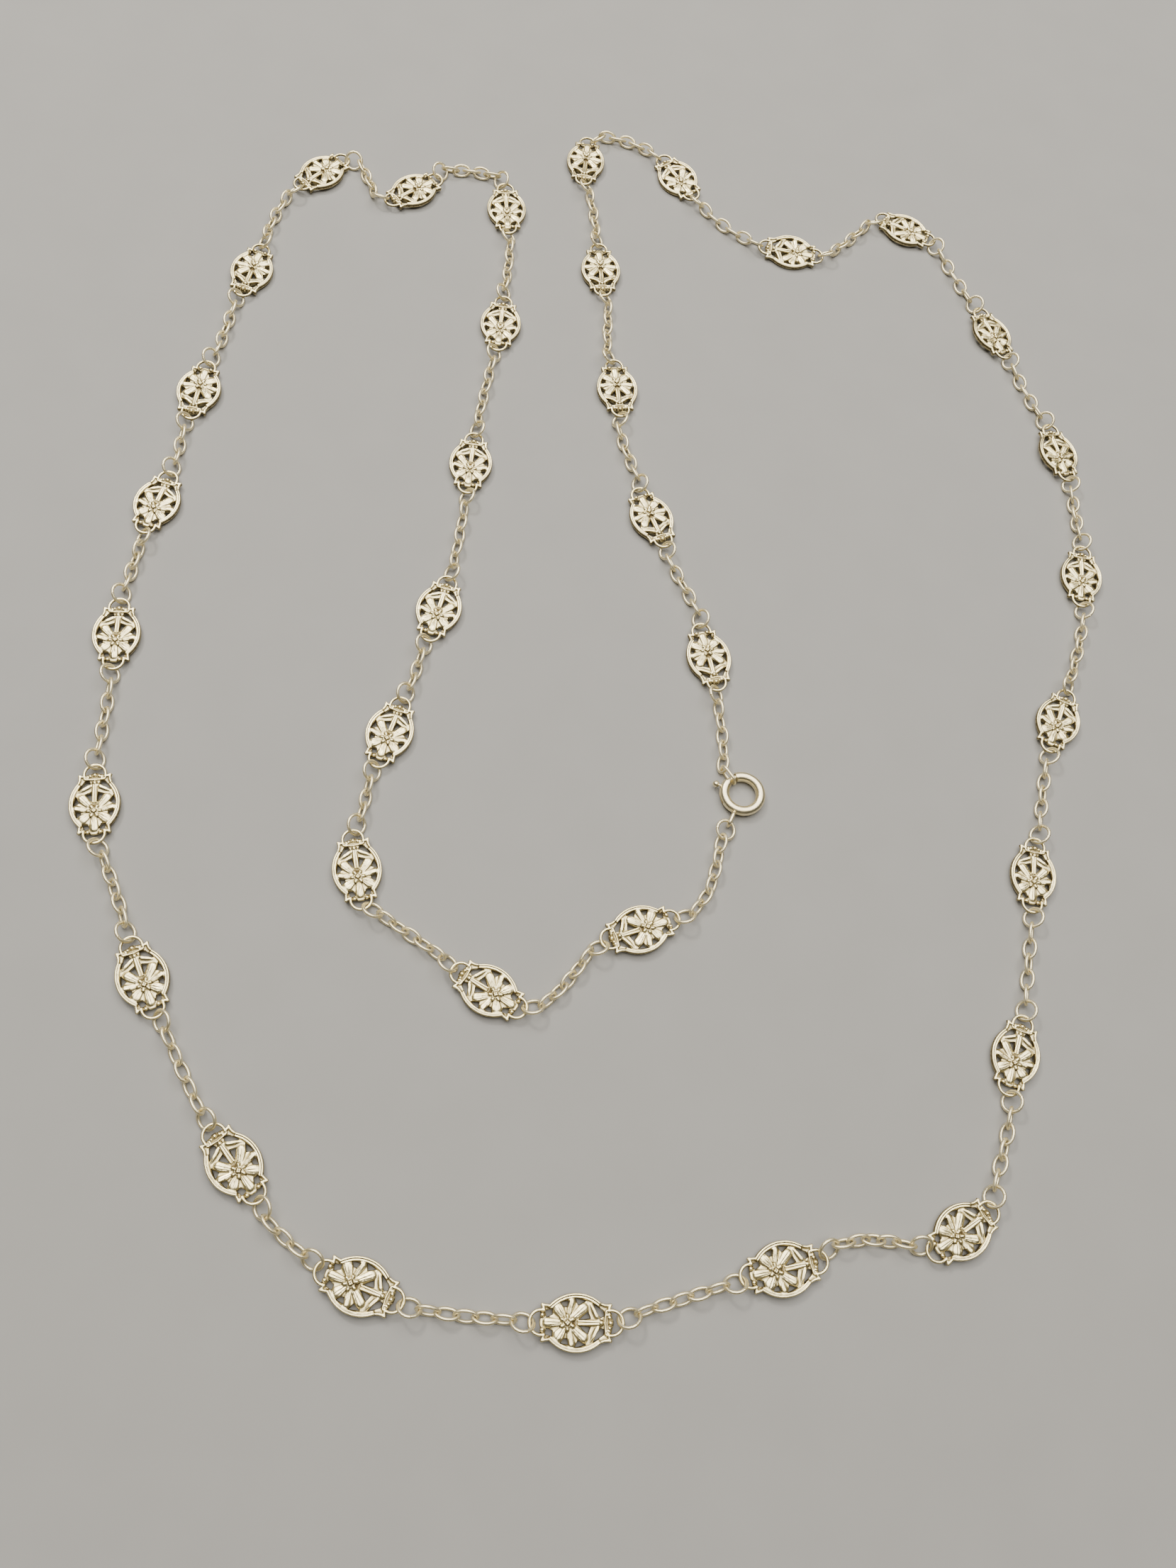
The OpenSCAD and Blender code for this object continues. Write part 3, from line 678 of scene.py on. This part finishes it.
# %% One casting on each plaque
def plaque(k):
    x, y, turn, roll = LAY[k - 1][:4]
    place = (Matrix.Translation(Vector((x, y, REST_Z)) * MM)
             @ Matrix.Rotation(math.radians(turn), 4, "Z")
             @ Matrix.Rotation(math.radians(roll), 4, "X"))
    mesh = master.copy()
    mesh.name = f"floral_plaque_{k:02d}"
    mesh.transform(place)
    mark = mesh.attributes.new("hollow", "FLOAT", "POINT")
    mark.data.foreach_set("value", hollow.astype(np.float32))
    mesh.materials.clear()
    mesh.materials.append(cast_silver)
    mesh.shade_smooth()
    obj = bpy.data.objects.new(mesh.name, mesh)
    bpy.context.scene.collection.objects.link(obj)
    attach(obj, "necklace")
    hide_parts(f"plaque_{k:02d}")
    return obj

plaques = [plaque(k) for k in range(1, LAST)]
print("plaques:", len(plaques), "faces in all:", sum(len(p.data.polygons) for p in plaques))

# %% [markdown]
# ## Clasp
#
# The clasp is a stock bolt ring: a bent tube with a gap, and a curved bolt that slides back
# when the little ball is pulled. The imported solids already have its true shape, so they only
# take their silver.

# %% Silver on the carried-over solids
for name, material in (("clasp_ring", clasp_silver), ("clasp_bolt", clasp_silver),
                       ("hooked_link", wire_silver)):
    nodes[name].data.materials.clear()
    nodes[name].data.materials.append(material)

# %% [markdown]
# ## Table and light
#
# A plain pale floor keeps the eye on the metal. Polished silver shows what is around it. One
# broad soft light overhead gives the faces that look up their cream shine, and a dim room
# leaves the sides and hollows dark, so that the relief reads. A smaller light draws shadows.

# %% Floor, lights and surroundings
FLOOR = 3                              # half its width, in metres
FLOOR_COLOR, DARKER, PALER = (0.29, 0.286, 0.277), (0.278, 0.274, 0.265), (0.302, 0.298, 0.289)
ROOM_COLOR, ROOM_STRENGTH = (0.80, 0.77, 0.72, 1), 0.06

def floor():
    corners = [(-FLOOR, -FLOOR, 0), (FLOOR, -FLOOR, 0), (FLOOR, FLOOR, 0), (-FLOOR, FLOOR, 0)]
    mesh = as_mesh("floor", corners, [(0, 1, 2, 3)])
    f = Finish("pale_floor", FLOOR_COLOR, 0.8)
    f.put("Base Color", f.blend(f.noise(60), DARKER, PALER))
    mesh.materials.append(f.material)
    obj = bpy.data.objects.new("floor", mesh)
    bpy.context.scene.collection.objects.link(obj)

def soft_light(name, at, size, power, color, target):
    """A disc of light, its size in metres and its power in watts."""
    data = bpy.data.lights.new(name, "AREA")
    data.shape, data.size, data.energy, data.color = "DISK", size, power, color
    obj = bpy.data.objects.new(name, data)
    bpy.context.scene.collection.objects.link(obj)
    obj.location = at
    obj.rotation_euler = (Vector(target) - Vector(at)).to_track_quat("-Z", "Y").to_euler()

floor()
soft_light("overhead", (-0.1, 0.65, 1.5), 2.5, 76.0, (1.0, 0.96, 0.88), (-0.1, 0.55, 0))
soft_light("lamp", (-0.6, 0.5, 0.9), 0.14, 5.0, (1.0, 0.95, 0.86), (0, 0, 0))
world = bpy.data.worlds.new("room")
bpy.context.scene.world = world
world.use_nodes = True
background = world.node_tree.nodes["Background"].inputs
background["Color"].default_value = ROOM_COLOR
background["Strength"].default_value = ROOM_STRENGTH
